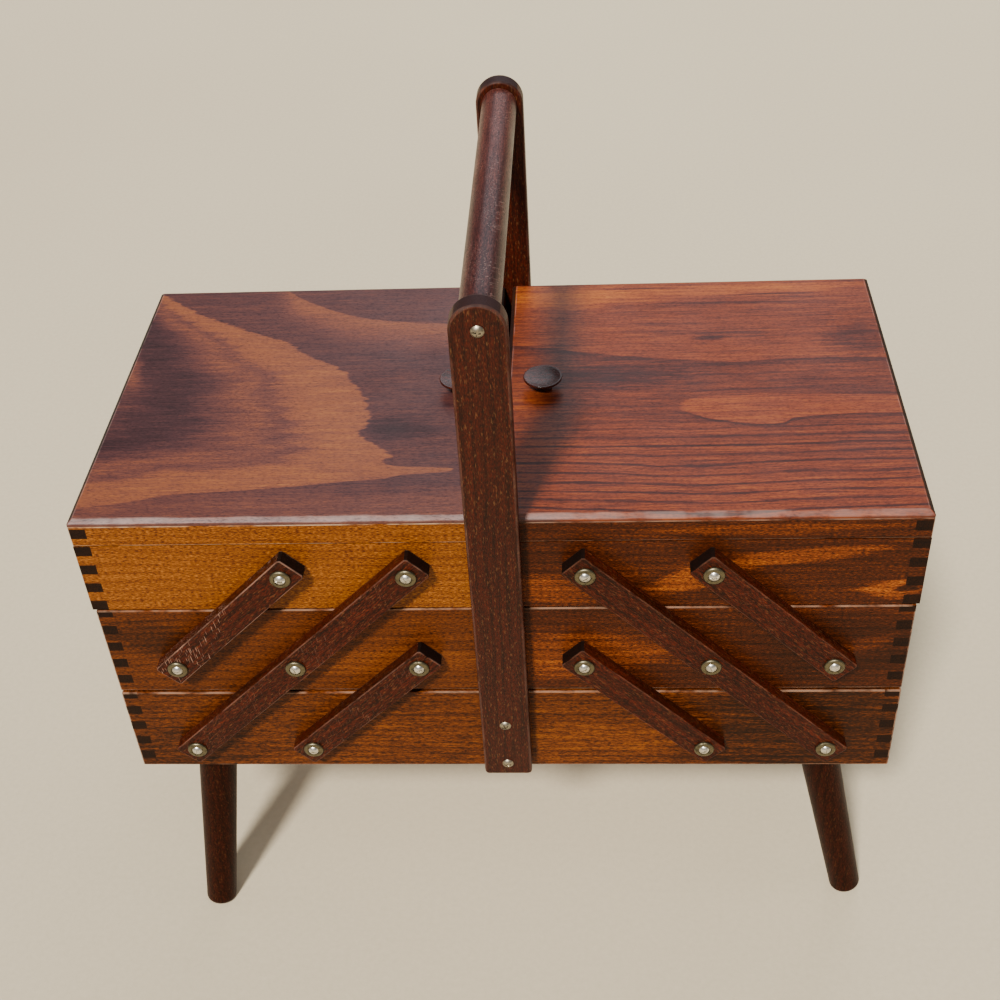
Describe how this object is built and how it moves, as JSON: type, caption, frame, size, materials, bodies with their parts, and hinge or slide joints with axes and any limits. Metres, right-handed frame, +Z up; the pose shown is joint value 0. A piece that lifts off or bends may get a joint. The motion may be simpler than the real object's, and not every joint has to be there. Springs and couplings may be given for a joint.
{
  "type": "sewing carrier with two lids",
  "caption": "Wooden sewing box on splayed legs, with a carrying handle and lidded trays that swing up and out on link bars to each side.",
  "frame": {"origin": "on the floor, under the middle of the closed box", "axes": "+Z up, +X to the right seen from the front, +Y to the rear; the handle bar runs along Y"},
  "size_m": [0.4518, 0.2506, 0.4521],
  "materials": {
    "left_lid_veneer": "stained veneer, satin lacquer",
    "right_lid_veneer": "stained veneer, satin lacquer",
    "left_top_wood": "stained board, satin lacquer",
    "right_top_wood": "stained board, satin lacquer",
    "left_middle_wood": "stained board, satin lacquer",
    "right_middle_wood": "stained board, satin lacquer",
    "base_wood": "stained board, satin lacquer",
    "end_wood": "stained board with darker end grain, satin lacquer",
    "dark_wood": "dark stained wood, worn edges, satin lacquer",
    "bar_wood": "dark stained wood, polished by hands",
    "plywood": "thin plywood, clear finish",
    "screw_metal": "nickel plated, slightly tarnished",
    "cup_metal": "tarnished brass",
    "hinge_brass": "plain brass"
  },
  "bodies": {
    "base": {"base_front_board": "base_wood", "base_rear_board": "base_wood", "base_left_end": "end_wood", "base_right_end": "end_wood", "base_bottom": "plywood", "leg_blocks": "dark_wood", "leg_front_left": "dark_wood", "leg_front_right": "dark_wood", "leg_rear_left": "dark_wood", "leg_rear_right": "dark_wood", "front_upright": "dark_wood", "rear_upright": "dark_wood", "handle_bar": "bar_wood", "handle_bar_screws": "screw_metal", "upright_screws": "screw_metal", "base_pivot_screws": "screw_metal", "base_cup_washers": "cup_metal"},
    "left_long_links": {"left_long_links": "dark_wood"},
    "left_lower_links": {"left_lower_links": "dark_wood"},
    "left_upper_links": {"left_upper_links": "dark_wood"},
    "left_middle_tray": {"left_middle_front_board": "left_middle_wood", "left_middle_rear_board": "left_middle_wood", "left_middle_ends": "end_wood", "left_middle_bottom": "plywood", "left_middle_pivot_screws": "screw_metal", "left_middle_cup_washers": "cup_metal"},
    "left_top_tray": {"left_top_front_board": "left_top_wood", "left_top_rear_board": "left_top_wood", "left_top_ends": "end_wood", "left_top_bottom": "plywood", "left_top_pivot_screws": "screw_metal", "left_top_cup_washers": "cup_metal", "left_hinge_tray_leaves": "hinge_brass"},
    "left_lid": {"left_lid_panel": "left_lid_veneer", "left_lid_side_rims": "left_top_wood", "left_lid_end_rims": "end_wood", "left_lid_knob": "dark_wood", "left_hinge_lid_leaves": "hinge_brass"},
    "right_long_links": {"right_long_links": "dark_wood"},
    "right_lower_links": {"right_lower_links": "dark_wood"},
    "right_upper_links": {"right_upper_links": "dark_wood"},
    "right_middle_tray": {"right_middle_front_board": "right_middle_wood", "right_middle_rear_board": "right_middle_wood", "right_middle_ends": "end_wood", "right_middle_bottom": "plywood", "right_middle_pivot_screws": "screw_metal", "right_middle_cup_washers": "cup_metal"},
    "right_top_tray": {"right_top_front_board": "right_top_wood", "right_top_rear_board": "right_top_wood", "right_top_ends": "end_wood", "right_top_bottom": "plywood", "right_top_pivot_screws": "screw_metal", "right_top_cup_washers": "cup_metal", "right_hinge_tray_leaves": "hinge_brass"},
    "right_lid": {"right_lid_panel": "right_lid_veneer", "right_lid_side_rims": "right_top_wood", "right_lid_end_rims": "end_wood", "right_lid_knob": "dark_wood", "right_hinge_lid_leaves": "hinge_brass"}
  },
  "joints": [
    {"name": "left_carrier_swing", "type": "hinge", "parent": "base", "child": "left_long_links", "pos_m": [-0.1807, 0, 0.153], "axis": [0, -1, 0], "range_deg": [0, 90]},
    {"name": "left_lower_link_swing", "type": "hinge", "parent": "base", "child": "left_lower_links", "pos_m": [-0.1123, 0, 0.153], "axis": [0, -1, 0], "range_deg": [0, 90]},
    {"name": "left_middle_tray_level", "type": "hinge", "parent": "left_long_links", "child": "left_middle_tray", "pos_m": [-0.1135, 0, 0.2202], "axis": [0, -1, 0], "range_deg": [-90, 0]},
    {"name": "left_top_tray_level", "type": "hinge", "parent": "left_long_links", "child": "left_top_tray", "pos_m": [-0.0463, 0, 0.2874], "axis": [0, -1, 0], "range_deg": [-90, 0]},
    {"name": "left_upper_link_swing", "type": "hinge", "parent": "left_middle_tray", "child": "left_upper_links", "pos_m": [-0.1793, 0, 0.2202], "axis": [0, -1, 0], "range_deg": [0, 90]},
    {"name": "left_lid_hinge", "type": "hinge", "parent": "left_top_tray", "child": "left_lid", "pos_m": [-0.2237, 0, 0.30255], "axis": [0, -1, 0], "range_deg": [0, 100]},
    {"name": "right_carrier_swing", "type": "hinge", "parent": "base", "child": "right_long_links", "pos_m": [0.1807, 0, 0.153], "axis": [0, 1, 0], "range_deg": [0, 90]},
    {"name": "right_lower_link_swing", "type": "hinge", "parent": "base", "child": "right_lower_links", "pos_m": [0.1123, 0, 0.153], "axis": [0, 1, 0], "range_deg": [0, 90]},
    {"name": "right_middle_tray_level", "type": "hinge", "parent": "right_long_links", "child": "right_middle_tray", "pos_m": [0.1135, 0, 0.2202], "axis": [0, 1, 0], "range_deg": [-90, 0]},
    {"name": "right_top_tray_level", "type": "hinge", "parent": "right_long_links", "child": "right_top_tray", "pos_m": [0.0463, 0, 0.2874], "axis": [0, 1, 0], "range_deg": [-90, 0]},
    {"name": "right_upper_link_swing", "type": "hinge", "parent": "right_middle_tray", "child": "right_upper_links", "pos_m": [0.1793, 0, 0.2202], "axis": [0, 1, 0], "range_deg": [0, 90]},
    {"name": "right_lid_hinge", "type": "hinge", "parent": "right_top_tray", "child": "right_lid", "pos_m": [0.2237, 0, 0.30255], "axis": [0, 1, 0], "range_deg": [0, 100]}
  ],
  "couplings": [
    {"joint": "left_lower_link_swing", "follows": "left_carrier_swing", "ratio": 1},
    {"joint": "left_middle_tray_level", "follows": "left_carrier_swing", "ratio": -1},
    {"joint": "left_top_tray_level", "follows": "left_carrier_swing", "ratio": -1},
    {"joint": "left_upper_link_swing", "follows": "left_carrier_swing", "ratio": 1},
    {"joint": "right_lower_link_swing", "follows": "right_carrier_swing", "ratio": 1},
    {"joint": "right_middle_tray_level", "follows": "right_carrier_swing", "ratio": -1},
    {"joint": "right_top_tray_level", "follows": "right_carrier_swing", "ratio": -1},
    {"joint": "right_upper_link_swing", "follows": "right_carrier_swing", "ratio": 1}
  ]
}
